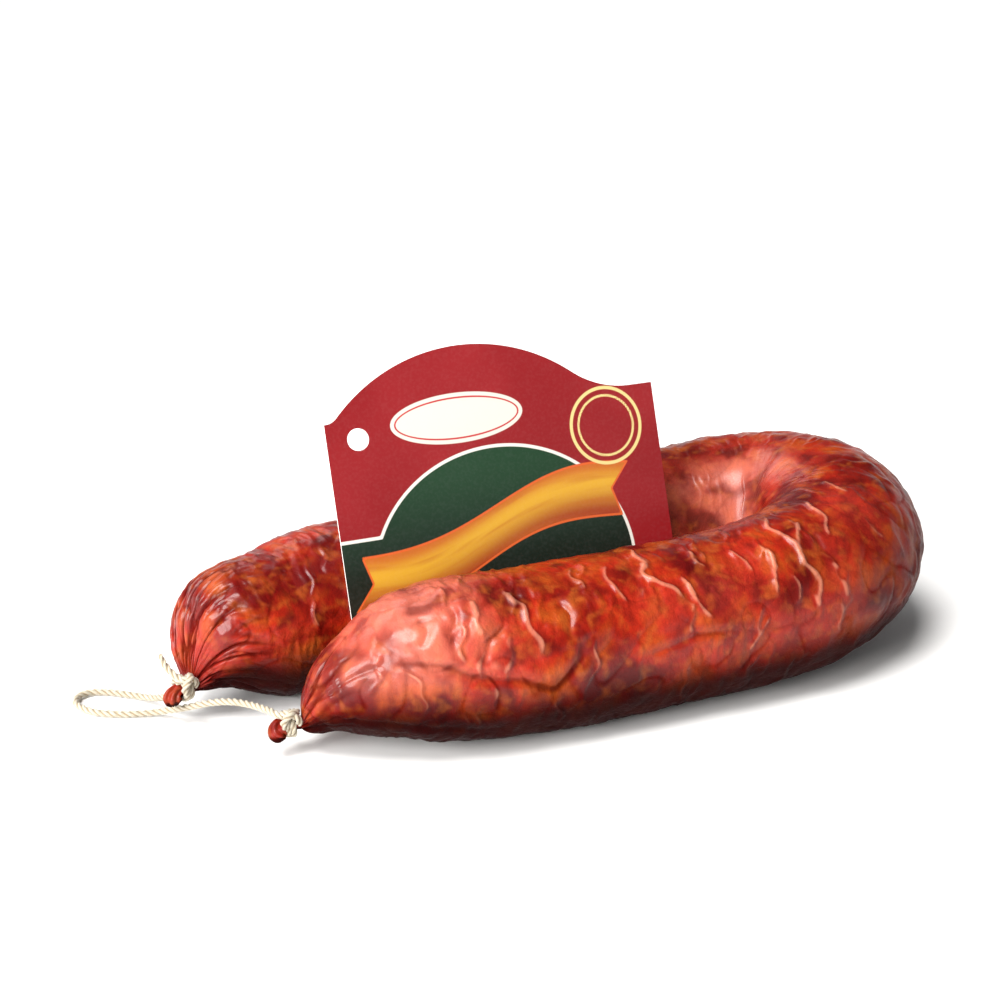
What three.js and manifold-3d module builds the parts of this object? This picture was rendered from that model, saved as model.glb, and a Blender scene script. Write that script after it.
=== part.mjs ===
// A cured sausage in natural casing, bent into a horseshoe and tied with twine at both ends. One loop of twine
// joins the two ties, and a die-cut card hang tag stands between the arms, leaning on the back one.
// Millimetres, +Z up. The sausage lies on the plane z = 0, its bend towards +X and its front arm towards -Y.
import * as THREE from "three";
import { mergeVertices } from "three/addons/utils/BufferGeometryUtils.js";
import Module from "manifold-3d";

const wasm = await Module();
wasm.setup();

const rad = THREE.MathUtils.degToRad;
const { clamp, smoothstep } = THREE.MathUtils;

// The centreline, from the front tie round the bend to the back tie.
const CENTRELINE = 355;
const BEND_AT = 168;
const BEND_RADIUS = 25;
const BEND_TURN = rad(174);
const BEND_EASE = 49;
const ARM_CURVE = 1 / 890;
const START_HEADING = rad(-16);

// The casing round it: its radius on the arms and at the fuller bend, and how far the bend arches off the surface.
const ARM_RADIUS = 19.8;
const BEND_FULL_RADIUS = 22.3;
const BEND_ARCH = 3.8;
const BEND_SPREAD = 43;
const FLATTENING = 0.5;

// Each end curls in towards the other arm and closes in a dome to a neck, which the lift holds off the surface.
const NECK_RADIUS = 1.6;
const CURL_REACH = 60;
const FRONT = { dome: 44, power: 1.75, lift: 7, liftLength: 47, curl: 1 / 256 };
const BACK = { dome: 59, power: 2.8, lift: 8, liftLength: 27, curl: 1 / 120 };

// Past each tie the gathered casing flares out again and hangs down as a short tail.
const NECK_LENGTH = 4.6;
const FRONT_TAIL = { end: FRONT, length: 5, flare: 2.7, droop: rad(78) };
const BACK_TAIL = { end: BACK, length: 4, flare: 2.1, droop: rad(80) };

const STATIONS = 96;
const STATION_CROWDING = 0.42;
const SEGMENTS = 26;

// Twine, and the two turns of it round each neck.
const TWINE = 1.8;
const CLEAR = 0.3;
const TIE_AT = 2.4;
const WRAP_PITCH = 1.6;
const KNOT_RADIUS = 1.5;

// The card hang tag: a plain rectangle under a round dome, with a hook hole in its left shoulder.
const TAG = { width: 88, shoulder: 72, thickness: 0.5, corner: 1.5 };
const TAG_DOME = { x: 37, y: 39.8, radius: 47.5 };
const LEFT_FILLET = 4;
const RIGHT_FILLET = 25;
const HOLE = { x: 8, y: 67.5, radius: 2.75 };
const TAG_FOOT = [19.5, 8.2, 0.1];
const TAG_LEAN = rad(21.4);
const TAG_TURN = rad(-3.8);

// ---- the centreline and the sections round it ----

function bendShare(s) {
  const half = (BEND_TURN * BEND_RADIUS) / 2;
  return smoothstep((half + BEND_EASE / 2 - Math.abs(s - BEND_AT)) / BEND_EASE, 0, 1);
}

function headingRate(s) {
  const front = FRONT.curl * (1 - smoothstep(s, 0, CURL_REACH));
  const back = BACK.curl * (1 - smoothstep(CENTRELINE - s, 0, CURL_REACH));
  return ARM_CURVE + bendShare(s) / BEND_RADIUS + front + back;
}

// Walks the centreline in short steps and keeps where it is and which way it heads at every millimetre.
function walk() {
  const places = [];
  const perStep = 8;
  let x = 0;
  let y = 0;
  let heading = START_HEADING;
  for (let mm = 0; mm <= CENTRELINE; mm++) {
    places.push({ x, y, heading });
    for (let i = 0; i < perStep; i++) {
      heading += headingRate(mm + (i + 0.5) / perStep) / perStep;
      x += Math.cos(heading) / perStep;
      y += Math.sin(heading) / perStep;
    }
  }
  return places;
}

const places = walk();

function placeAt(s) {
  const i = Math.min(Math.floor(s), CENTRELINE - 1);
  const mix = (key) => THREE.MathUtils.lerp(places[i][key], places[i + 1][key], s - i);
  return { x: mix("x"), y: mix("y"), heading: mix("heading") };
}

const bendSwell = (s) => Math.exp(-(((s - BEND_AT) / BEND_SPREAD) ** 2));

const domeShare = (t, power) => (1 - (1 - clamp(t, 0, 1)) ** power) ** (1 / power);

function casingRadius(s) {
  const full = ARM_RADIUS + (BEND_FULL_RADIUS - ARM_RADIUS) * bendSwell(s);
  const front = domeShare(s / FRONT.dome, FRONT.power);
  const back = domeShare((CENTRELINE - s) / BACK.dome, BACK.power);
  return NECK_RADIUS + (full - NECK_RADIUS) * front * back;
}

function axisHeight(s) {
  const front = FRONT.lift * (1 - smoothstep(s, 0, FRONT.liftLength));
  const back = BACK.lift * (1 - smoothstep(CENTRELINE - s, 0, BACK.liftLength));
  return casingRadius(s) - FLATTENING + front + back + BEND_ARCH * bendSwell(s);
}

// A section of the casing: its centre, the two directions that span it, and its radius.
function bodySection(s) {
  const { x, y, heading } = placeAt(s);
  return {
    centre: new THREE.Vector3(x, y, axisHeight(s)),
    side: new THREE.Vector3(-Math.sin(heading), Math.cos(heading), 0),
    rise: new THREE.Vector3(0, 0, 1),
    radius: casingRadius(s),
  };
}

// Sections past an end's neck, turning down with distance. They start at the tie and end at the tail's rim.
function tailSections(tail) {
  const atFront = tail.end === FRONT;
  const start = bodySection(atFront ? 0 : CENTRELINE);
  const { heading } = placeAt(atFront ? 0 : CENTRELINE);
  const way = atFront ? -1 : 1;
  const outward = new THREE.Vector3(way * Math.cos(heading), way * Math.sin(heading), 0);
  const total = NECK_LENGTH + tail.length;
  const step = 0.6;
  const sections = [];
  const centre = start.centre.clone();
  for (let q = step; q <= total + 1e-6; q += step) {
    const tilt = tail.droop * smoothstep(q, TIE_AT + WRAP_PITCH, total);
    const along = outward.clone().multiplyScalar(Math.cos(tilt)).setZ(-Math.sin(tilt));
    centre.addScaledVector(along, step);
    const flared = (tail.flare - NECK_RADIUS) * smoothstep(q, NECK_LENGTH, NECK_LENGTH + 0.6 * tail.length);
    sections.push({
      centre: centre.clone(),
      side: start.side,
      rise: outward.clone().multiplyScalar(Math.sin(tilt)).setZ(Math.cos(tilt)),
      radius: NECK_RADIUS + flared,
    });
  }
  return sections;
}

// One closed skin over a row of sections, flat where it would reach under the surface that it lies on.
function skinOver(sections) {
  const positions = [];
  const triangles = [];
  for (const { centre, side, rise, radius } of sections) {
    for (let j = 0; j < SEGMENTS; j++) {
      const angle = (j / SEGMENTS) * 2 * Math.PI;
      const point = centre.clone();
      point.addScaledVector(side, radius * Math.cos(angle));
      point.addScaledVector(rise, radius * Math.sin(angle));
      positions.push(point.x, point.y, Math.max(point.z, 0));
    }
  }
  const at = (i, j) => i * SEGMENTS + (j % SEGMENTS);
  for (let i = 0; i + 1 < sections.length; i++) {
    for (let j = 0; j < SEGMENTS; j++) {
      triangles.push(at(i, j), at(i, j + 1), at(i + 1, j));
      triangles.push(at(i, j + 1), at(i + 1, j + 1), at(i + 1, j));
    }
  }
  const first = positions.length / 3;
  const ends = [sections[0].centre, sections.at(-1).centre];
  ends.forEach((p) => positions.push(p.x, p.y, Math.max(p.z, 0)));
  const lastRow = sections.length - 1;
  for (let j = 0; j < SEGMENTS; j++) {
    triangles.push(first, at(0, j + 1), at(0, j));
    triangles.push(first + 1, at(lastRow, j), at(lastRow, j + 1));
  }
  const geometry = new THREE.BufferGeometry();
  geometry.setAttribute("position", new THREE.Float32BufferAttribute(positions, 3));
  geometry.setIndex(triangles);
  geometry.computeVertexNormals();
  return geometry;
}

function sausageGeometry() {
  const body = [];
  for (let i = 0; i <= STATIONS; i++) {
    const u = i / STATIONS;
    const crowded = u - (STATION_CROWDING * Math.sin(2 * Math.PI * u)) / (2 * Math.PI);
    body.push(bodySection(CENTRELINE * crowded));
  }
  return skinOver([...tailSections(FRONT_TAIL).reverse(), ...body, ...tailSections(BACK_TAIL)]);
}

// ---- joining solids ----

function solidOf(geometry) {
  const bare = geometry.index ? geometry.toNonIndexed() : geometry.clone();
  bare.deleteAttribute("normal");
  bare.deleteAttribute("uv");
  const merged = mergeVertices(bare, 1e-4);
  const vertProperties = merged.attributes.position.array;
  const triVerts = new Uint32Array(merged.index.array);
  return new wasm.Manifold(new wasm.Mesh({ numProp: 3, vertProperties, triVerts }));
}

function joined(geometries) {
  const whole = geometries.map(solidOf).reduce((sum, next) => sum.add(next));
  const { vertProperties, triVerts } = whole.getMesh();
  const geometry = new THREE.BufferGeometry();
  geometry.setAttribute("position", new THREE.BufferAttribute(vertProperties, 3));
  geometry.setIndex(new THREE.BufferAttribute(triVerts, 1));
  geometry.computeVertexNormals();
  return geometry;
}

// ---- twine ----

function twineAlong(points, steps) {
  const around = new THREE.Shape();
  const sides = 8;
  for (let i = 0; i < sides; i++) {
    const angle = (i / sides) * 2 * Math.PI;
    const corner = [(TWINE / 2) * Math.cos(angle), (TWINE / 2) * Math.sin(angle)];
    if (i === 0) around.moveTo(...corner);
    else around.lineTo(...corner);
  }
  around.closePath();
  const curve = new THREE.CatmullRomCurve3(
    points.map((p) => new THREE.Vector3(...p)),
    false,
    "centripetal",
  );
  return new THREE.ExtrudeGeometry(around, { extrudePath: curve, steps });
}

// Two turns of twine round a neck, as one ring about its own Y axis.
function wrapGeometry() {
  const inner = NECK_RADIUS + CLEAR;
  const middle = inner + TWINE / 2;
  const bumpSteps = 6;
  const profile = [new THREE.Vector2(inner, -WRAP_PITCH)];
  for (const turn of [-1, 1]) {
    for (let i = turn < 0 ? 0 : 1; i <= bumpSteps; i++) {
      const angle = (i / bumpSteps - 0.5) * Math.PI;
      const out = middle + (WRAP_PITCH / 2) * Math.cos(angle);
      profile.push(new THREE.Vector2(out, (turn * WRAP_PITCH) / 2 + (WRAP_PITCH / 2) * Math.sin(angle)));
    }
  }
  profile.push(new THREE.Vector2(inner, WRAP_PITCH), profile[0].clone());
  return new THREE.LatheGeometry(profile, 20);
}

// Where a tie sits: its middle, the way out along the neck, and the level direction across it.
function tieFrame(end) {
  const s = end === FRONT ? 0 : CENTRELINE;
  const section = bodySection(s);
  const { heading } = placeAt(s);
  const way = end === FRONT ? -1 : 1;
  const outward = new THREE.Vector3(way * Math.cos(heading), way * Math.sin(heading), 0);
  return { middle: section.centre.addScaledVector(outward, TIE_AT), outward, side: section.side };
}

function lump(place, radius) {
  const [x, y, z] = place.toArray();
  return new THREE.SphereGeometry(radius, 12, 8).translate(x, y, z);
}

// A tie: the wound ring and the two lumps of its knot, which sit on it at the given lean from upright.
function tieSolids(end, knotLean) {
  const { middle, outward, side } = tieFrame(end);
  const turn = new THREE.Quaternion().setFromUnitVectors(new THREE.Vector3(0, 1, 0), outward);
  const ring = wrapGeometry().applyQuaternion(turn).translate(...middle.toArray());
  const out = NECK_RADIUS + CLEAR + 0.75 * TWINE;
  const knot = middle.clone().addScaledVector(side, -out * Math.sin(knotLean));
  knot.z += out * Math.cos(knotLean);
  const lumps = [-0.5, 0.8].map((k) => lump(knot.clone().addScaledVector(outward, k * TWINE), KNOT_RADIUS));
  return [ring, ...lumps];
}

const FRONT_KNOT_LEAN = rad(38);
const BACK_KNOT_LEAN = rad(-40);

// The knot's cut tail stands up beside the back dome.
const CUT_TAIL = [
  [-20.4, 24.7, 11.7],
  [-21.4, 26, 12.7],
  [-22.5, 27.6, 13.9],
  [-23.4, 29.2, 15.4],
  [-23.9, 30.6, 17.4],
];

// The loop leaves the front knot, sags past the underside of the back tie to the surface, turns there and rises to
// tuck in behind the back tie.
const LOOP = [
  [-5.6, 1, 10.9],
  [-6.2, 3.6, 10.7],
  [-7.6, 8.2, 10],
  [-9.6, 12.8, 9.3],
  [-12.2, 17, 8.4],
  [-15, 20.6, 7.1],
  [-17.8, 23.7, 5.6],
  [-20.5, 27.1, 3.9],
  [-23, 30.6, 2.3],
  [-26.2, 33.2, 1.2],
  [-30.6, 35.1, 0.95],
  [-34.8, 37.2, 0.95],
  [-38.2, 40, 0.95],
  [-40.5, 43.4, 0.95],
  [-41.2, 47, 0.95],
  [-39.7, 50, 0.95],
  [-36.6, 50.9, 0.95],
  [-33.2, 49.4, 0.95],
  [-30, 47, 0.95],
  [-27.2, 44.5, 0.95],
  [-25.2, 41.7, 1.3],
  [-23.8, 38.5, 2.2],
  [-22.8, 35.3, 3.6],
  [-21.9, 32.6, 5.2],
  [-21, 30.2, 6.7],
];
const LOOP_STEPS = 44;
const CUT_TAIL_STEPS = 6;

// ---- the hang tag ----

// The fillet between the dome and a shoulder: its centre's distance from the dome's centre, and the two angles
// that the dome and the fillet take up to where they meet.
function filletOf(radius) {
  const rise = TAG.shoulder + radius - TAG_DOME.y;
  const reach = Math.sqrt((TAG_DOME.radius + radius) ** 2 - rise ** 2);
  return { reach, rise, angle: Math.atan2(rise, reach) };
}

function tagGeometry() {
  const { width, shoulder, corner, thickness } = TAG;
  const left = filletOf(LEFT_FILLET);
  const right = filletOf(RIGHT_FILLET);
  const outline = new THREE.Shape();
  outline.moveTo(corner, 0);
  outline.lineTo(width - corner, 0);
  outline.absarc(width - corner, corner, corner, -Math.PI / 2, 0, false);
  outline.lineTo(width, shoulder);
  const rightX = TAG_DOME.x + right.reach;
  outline.absarc(rightX, shoulder + RIGHT_FILLET, RIGHT_FILLET, -Math.PI / 2, Math.PI + right.angle, true);
  outline.absarc(TAG_DOME.x, TAG_DOME.y, TAG_DOME.radius, right.angle, Math.PI - left.angle, false);
  const leftX = TAG_DOME.x - left.reach;
  outline.absarc(leftX, shoulder + LEFT_FILLET, LEFT_FILLET, -left.angle, -Math.PI / 2, true);
  outline.lineTo(0, shoulder);
  outline.lineTo(0, corner);
  outline.absarc(corner, corner, corner, Math.PI, 1.5 * Math.PI, false);
  const hole = new THREE.Path();
  hole.absarc(HOLE.x, HOLE.y, HOLE.radius, 0, 2 * Math.PI, true);
  outline.holes.push(hole);
  return new THREE.ExtrudeGeometry(outline, { depth: thickness, bevelEnabled: false, curveSegments: 12 });
}

// ---- the assembly ----

function piece(name, geometry, color, roughness) {
  const material = new THREE.MeshStandardMaterial({ color, roughness, metalness: 0 });
  const mesh = new THREE.Mesh(geometry, material);
  mesh.name = name;
  return mesh;
}

const sausage = piece("sausage", sausageGeometry(), 0x9c2a16, 0.35);
const frontTie = piece("front_tie", joined(tieSolids(FRONT, FRONT_KNOT_LEAN)), 0xd8c8a4, 0.9);
const backTie = piece(
  "back_tie",
  joined([...tieSolids(BACK, BACK_KNOT_LEAN), twineAlong(CUT_TAIL, CUT_TAIL_STEPS)]),
  0xd8c8a4,
  0.9,
);
const twineLoop = piece("twine_loop", twineAlong(LOOP, LOOP_STEPS), 0xcdbf9e, 0.9);

// The tag is drawn upright on its own X and Y, then stood up, leant back and turned with the arms.
const hangTag = piece("hang_tag", tagGeometry(), 0xa5202a, 0.45);
hangTag.rotation.set(Math.PI / 2 - TAG_LEAN, 0, TAG_TURN, "ZYX");
hangTag.position.set(...TAG_FOOT);

const group = new THREE.Group();
group.add(sausage, frontTie, backTie, hangTag);

// The origin is the middle of the base, without the free twine.
const box = new THREE.Box3().setFromObject(group, true);
group.position.set(-(box.min.x + box.max.x) / 2, -(box.min.y + box.max.y) / 2, 0);
group.add(twineLoop);

export default group;
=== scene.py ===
# A cured sausage in natural casing, bent into a horseshoe, its ends tied and joined by a loop of twine, with
# a die-cut card hang tag standing between its arms. Sizes are in millimetres until a mesh is made.
import math

import bpy
import numpy as np
from mathutils import Matrix, Vector


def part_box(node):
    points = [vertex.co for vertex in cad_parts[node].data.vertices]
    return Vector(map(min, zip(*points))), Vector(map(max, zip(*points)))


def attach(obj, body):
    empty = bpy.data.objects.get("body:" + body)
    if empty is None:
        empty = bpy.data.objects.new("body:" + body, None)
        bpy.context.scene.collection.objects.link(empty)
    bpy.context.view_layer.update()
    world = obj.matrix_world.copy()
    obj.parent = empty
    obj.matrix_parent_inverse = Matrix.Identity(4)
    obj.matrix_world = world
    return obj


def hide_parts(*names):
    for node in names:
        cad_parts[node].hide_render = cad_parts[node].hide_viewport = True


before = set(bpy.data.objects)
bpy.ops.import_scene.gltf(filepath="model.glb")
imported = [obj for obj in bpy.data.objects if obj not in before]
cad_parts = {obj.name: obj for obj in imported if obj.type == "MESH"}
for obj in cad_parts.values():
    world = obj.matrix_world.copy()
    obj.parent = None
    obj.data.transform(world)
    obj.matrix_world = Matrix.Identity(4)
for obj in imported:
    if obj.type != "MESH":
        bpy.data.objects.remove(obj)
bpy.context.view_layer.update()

MM = 0.001

# ---- driving sizes, the same as the part's ----

CENTRELINE = 355
BEND_AT = 168
BEND_RADIUS = 25
BEND_TURN = math.radians(174)
BEND_EASE = 49
ARM_CURVE = 1 / 890
START_HEADING = math.radians(-16)
ARM_RADIUS = 19.8
BEND_FULL_RADIUS = 22.3
BEND_ARCH = 3.8
BEND_SPREAD = 43
FLATTENING = 0.5
NECK_RADIUS = 1.6
CURL_REACH = 60
FRONT = {"dome": 44, "power": 1.75, "lift": 7, "lift_length": 47, "curl": 1 / 256}
BACK = {"dome": 59, "power": 2.8, "lift": 8, "lift_length": 27, "curl": 1 / 120}
NECK_LENGTH = 4.6

TWINE = 1.8
TIE_AT = 2.4
WRAP_PITCH = 1.6
FRONT_KNOT_LEAN = math.radians(38)
BACK_KNOT_LEAN = math.radians(-40)

TAG_WIDTH = 88
TAG_SHOULDER = 72
TAG_THICKNESS = 0.5
TAG_DOME = {"x": 37, "y": 39.8, "radius": 47.5}
LEFT_FILLET = 4
RIGHT_FILLET = 25
HOLE = {"x": 8, "y": 67.5, "radius": 2.75}
TAG_FOOT = (19.5, 8.2, 0.1)
TAG_LEAN = math.radians(21.4)
TAG_TURN = math.radians(-3.8)

# ---- the casing's tails, which turn further under than the part's ----

FRONT_TAIL = {"length": 3.6, "flare": 2.7, "droop": math.radians(145), "aside": -0.9}
BACK_TAIL = {"length": 3.6, "flare": 2.1, "droop": math.radians(92), "aside": 0.15}
TAIL_STEP = 0.25
TAIL_TURNS_FROM = 1.2
TAIL_TURNS_SHORT = 1.6
TAIL_FLARE_SHARE = 0.6
TAIL_ROUNDING = 1.7
TAIL_BLUNTNESS = 0.97

# ---- small helpers ----


def smooth(t):
    t = np.clip(t, 0, 1)
    return t * t * (3 - 2 * t)


# A bell of height 1.
def hump(x, middle, spread):
    return np.exp(-(((x - middle) / spread) ** 2))


def unit(v):
    return v / np.linalg.norm(v, axis=-1, keepdims=True)


# A vector turned round a unit axis by each of a column of angles.
def turned(vector, axis, angles):
    kept = axis * axis.dot(vector) * (1 - np.cos(angles))
    return vector * np.cos(angles) + np.cross(axis, vector) * np.sin(angles) + kept


NOISE_TABLE = 256
NOISE_GAIN = 1.6


# Gradient noise at an array of points, from about -1 to 1.
def noise(points, seed):
    rng = np.random.RandomState(seed)
    order = rng.permutation(NOISE_TABLE)
    slopes = unit(rng.normal(size=(NOISE_TABLE, 3)))
    cell = np.floor(points).astype(int)
    local = points - cell
    blend = local**3 * (local * (local * 6 - 15) + 10)
    total = 0
    for corner in np.ndindex(2, 2, 2):
        i, j, k = ((cell[..., axis] + corner[axis]) % NOISE_TABLE for axis in range(3))
        slope = slopes[order[(order[(order[i] + j) % NOISE_TABLE] + k) % NOISE_TABLE]]
        reach = (slope * (local - np.array(corner))).sum(-1)
        share = np.prod(np.where(corner, blend, 1 - blend), axis=-1)
        total = total + reach * share
    return total * NOISE_GAIN


# ---- the centreline and the sections round it ----


def heading_rate(s):
    half = BEND_TURN * BEND_RADIUS / 2
    share = smooth((half + BEND_EASE / 2 - np.abs(s - BEND_AT)) / BEND_EASE)
    front = FRONT["curl"] * (1 - smooth(s / CURL_REACH))
    back = BACK["curl"] * (1 - smooth((CENTRELINE - s) / CURL_REACH))
    return ARM_CURVE + share / BEND_RADIUS + front + back


STEP = 1 / 8
walk_s = np.arange(0, CENTRELINE + STEP / 2, STEP)
walk_heading = START_HEADING + np.append(0, np.cumsum(heading_rate(walk_s[:-1] + STEP / 2) * STEP))
walk_x = np.append(0, np.cumsum(np.cos(walk_heading[1:]) * STEP))
walk_y = np.append(0, np.cumsum(np.sin(walk_heading[1:]) * STEP))


def dome_share(t, power):
    return (1 - (1 - np.clip(t, 0, 1)) ** power) ** (1 / power)


def bend_swell(s):
    return hump(s, BEND_AT, BEND_SPREAD)


def casing_radius(s):
    full = ARM_RADIUS + (BEND_FULL_RADIUS - ARM_RADIUS) * bend_swell(s)
    front = dome_share(s / FRONT["dome"], FRONT["power"])
    back = dome_share((CENTRELINE - s) / BACK["dome"], BACK["power"])
    return NECK_RADIUS + (full - NECK_RADIUS) * front * back


def axis_height(s):
    front = FRONT["lift"] * (1 - smooth(s / FRONT["lift_length"]))
    back = BACK["lift"] * (1 - smooth((CENTRELINE - s) / BACK["lift_length"]))
    return casing_radius(s) - FLATTENING + front + back + BEND_ARCH * bend_swell(s)


# Rows of sections as arrays: place along the casing, centre, side, rise and radius.
def body_sections(s):
    heading = np.interp(s, walk_s, walk_heading)
    centre = np.stack([np.interp(s, walk_s, walk_x), np.interp(s, walk_s, walk_y), axis_height(s)], -1)
    side = np.stack([-np.sin(heading), np.cos(heading), 0 * s], -1)
    rise = np.tile([0.0, 0.0, 1.0], (len(s), 1))
    return {"s": s, "centre": centre, "side": side, "rise": rise, "radius": casing_radius(s)}


def end_frame(at_front):
    s = np.array([0.0 if at_front else float(CENTRELINE)])
    section = body_sections(s)
    heading = np.interp(s, walk_s, walk_heading)[0]
    way = -1 if at_front else 1
    outward = np.array([way * math.cos(heading), way * math.sin(heading), 0.0])
    return section["centre"][0], outward, section["side"][0]


def tail_sections(tail, at_front):
    start, outward, side = end_frame(at_front)
    total = NECK_LENGTH + tail["length"]
    q = np.arange(TAIL_STEP, total + TAIL_STEP / 2, TAIL_STEP)
    turned_share = smooth((q - TIE_AT - TAIL_TURNS_FROM) / (total - TIE_AT - TAIL_TURNS_SHORT))
    tilt = tail["droop"] * turned_share[:, None]
    hang = unit(np.array([0.0, 0.0, -1.0]) + tail["aside"] * side)
    hinge = np.cross(outward, hang)
    along = np.cos(tilt) * outward + np.sin(tilt) * hang
    flared_share = smooth((q - NECK_LENGTH) / (TAIL_FLARE_SHARE * tail["length"]))
    past_round = np.clip((q - total + TAIL_ROUNDING) / TAIL_ROUNDING, 0, TAIL_BLUNTNESS)
    rows = {
        "s": -q if at_front else CENTRELINE + q,
        "centre": start + np.cumsum(along * TAIL_STEP, axis=0),
        "side": turned(side, hinge, tilt),
        "rise": turned(np.array([0.0, 0.0, 1.0]), hinge, tilt),
        "radius": (NECK_RADIUS + (tail["flare"] - NECK_RADIUS) * flared_share) * np.sqrt(1 - past_round**2),
    }
    if at_front:
        rows = {key: value[::-1] for key, value in rows.items()}
    return rows


FINE_PLACES = 6000


# Places along the body, closer together where its ends close in, so that the skin's rows are evenly spaced.
def even_places(spacing):
    s = np.linspace(0, CENTRELINE, FINE_PLACES)
    growth = np.abs(np.gradient(casing_radius(s), s)) + np.abs(np.gradient(axis_height(s), s))
    run = np.append(0, np.cumsum(np.sqrt(1 + growth[1:] ** 2) * np.diff(s)))
    return np.interp(np.linspace(0, run[-1], int(run[-1] / spacing)), run, s)


def casing_sections(spacing):
    parts = [
        tail_sections(FRONT_TAIL, True),
        body_sections(even_places(spacing)),
        tail_sections(BACK_TAIL, False),
    ]
    return {key: np.concatenate([part[key] for part in parts]) for key in parts[0]}


def skin_points(rows, angles):
    radius = rows["radius"][:, None]
    across = (radius * np.cos(angles))[..., None] * rows["side"][:, None]
    up = (radius * np.sin(angles))[..., None] * rows["rise"][:, None]
    return rows["centre"][:, None] + across + up


COARSE_SPACING = 2.0
COARSE_COLUMNS = 64

# The centreline starts at the front neck, and the frame's origin is elsewhere: this is the step between them.
coarse_angles = np.linspace(0, 2 * np.pi, COARSE_COLUMNS, endpoint=False)
coarse = skin_points(casing_sections(COARSE_SPACING), coarse_angles).reshape(-1, 3)
casing_low, casing_high = (np.array(corner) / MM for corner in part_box("sausage"))
ORIGIN = (casing_low + casing_high) / 2 - (coarse.min(0) + coarse.max(0)) / 2
ORIGIN[2] = 0

# ---- the camera ----

LENS = 70.5
CAMERA_AZIMUTH = math.radians(-27.5)
CAMERA_ELEVATION = math.radians(24.5)
CAMERA_DISTANCE = 500
CAMERA_LOOKS_BY = np.array([70.0, 20.0, 15.0])
AIM_RIGHT = -0.0153
AIM_UP = 0.0547


def make_camera():
    azimuth, elevation = CAMERA_AZIMUTH, CAMERA_ELEVATION
    back = np.array(
        [
            math.sin(azimuth) * math.cos(elevation),
            -math.cos(azimuth) * math.cos(elevation),
            math.sin(elevation),
        ]
    )
    right = np.array([math.cos(azimuth), math.sin(azimuth), 0])
    up = np.cross(back, right)
    data = bpy.data.cameras.new("camera")
    data.lens = LENS
    data.clip_start = 0.01
    data.clip_end = 20
    camera = bpy.data.objects.new("camera", data)
    bpy.context.scene.collection.objects.link(camera)
    camera.location = (CAMERA_LOOKS_BY + ORIGIN + back * CAMERA_DISTANCE) * MM
    aim = Vector(-back + AIM_RIGHT * right + AIM_UP * up)
    camera.rotation_mode = "QUATERNION"
    camera.rotation_quaternion = aim.to_track_quat("-Z", "Y")
    bpy.context.scene.camera = camera


make_camera()

# ---- meshes ----


# An object from points in millimetres in the centreline's frame, or in the part's own with shift off, with
# one float attribute for each name.
def mesh_object(name, points, faces, attributes=None, shade_smooth=True, shift=True):
    data = bpy.data.meshes.new(name)
    placed = (np.asarray(points, float) + (ORIGIN if shift else 0)) * MM
    data.from_pydata(placed.tolist(), [], [tuple(int(i) for i in face) for face in faces])
    for key, values in (attributes or {}).items():
        layer = data.attributes.new(key, "FLOAT", "POINT")
        layer.data.foreach_set("value", np.asarray(values, np.float32).ravel())
    data.polygons.foreach_set("use_smooth", np.full(len(data.polygons), shade_smooth))
    data.update()
    piece = bpy.data.objects.new(name, data)
    bpy.context.scene.collection.objects.link(piece)
    return piece


# Quads of a tube of rows by columns, closed round each row and capped with a fan at both ends.
def tube_faces(rows, columns, first=0):
    i, j = np.meshgrid(np.arange(rows - 1), np.arange(columns), indexing="ij")
    here, beside = i * columns + j, i * columns + (j + 1) % columns
    quads = np.stack([here, beside, beside + columns, here + columns], -1)
    faces = (quads.reshape(-1, 4) + first).tolist()
    start, end = first + rows * columns, first + rows * columns + 1
    last = first + (rows - 1) * columns
    for k in range(columns):
        follow = (k + 1) % columns
        faces.append((start, first + follow, first + k))
        faces.append((end, last + k, last + follow))
    return faces


# ---- twine ----

# A ply's middle, its radius and the bottom of the grooves between plies are shares of the strand's radius.
PLIES = 3
PLY_SPREAD = 0.536
PLY_RADIUS = 0.464
PLY_GROOVE = 0.66
LAY_LENGTH = 5.6
TWINE_COLUMNS = 24
TWINE_STEP = 0.28
TWINE_GUIDE = [0.3, 0.2, 0.93]
SPLINE_SAMPLES = 24
HAIR = {"around": 2.2, "length": 1.1, "height": 0.07}
UNEVEN = {"scale": 0.21, "height": 0.05}
TAPER_LENGTH = 3
TIP = 0.2


# A smooth curve through listed points, at even steps (a centripetal Catmull-Rom spline).
def smooth_path(points, step):
    p = np.asarray(points, float)
    p = np.vstack([2 * p[0] - p[1], p, 2 * p[-1] - p[-2]])
    knots = np.append(0, np.cumsum(np.sqrt(np.linalg.norm(np.diff(p, axis=0), axis=1))))
    pieces = []
    for i in range(1, len(p) - 2):
        t = np.linspace(knots[i], knots[i + 1], SPLINE_SAMPLES, endpoint=False)[:, None]

        def between(a, b, low, high):
            return ((high - t) * a + (t - low) * b) / (high - low)

        k0, k1, k2, k3 = knots[i - 1 : i + 3]
        a1 = between(p[i - 1], p[i], k0, k1)
        a2 = between(p[i], p[i + 1], k1, k2)
        a3 = between(p[i + 1], p[i + 2], k2, k3)
        b1 = between(a1, a2, k0, k2)
        b2 = between(a2, a3, k1, k3)
        pieces.append(between(b1, b2, k1, k2))
    dense = np.vstack([*pieces, p[-2:-1]])
    run = np.append(0, np.cumsum(np.linalg.norm(np.diff(dense, axis=0), axis=1)))
    even = np.linspace(0, run[-1], max(int(run[-1] / step), 4))
    return np.stack([np.interp(even, run, dense[:, axis]) for axis in range(3)], -1), run[-1]


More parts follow.
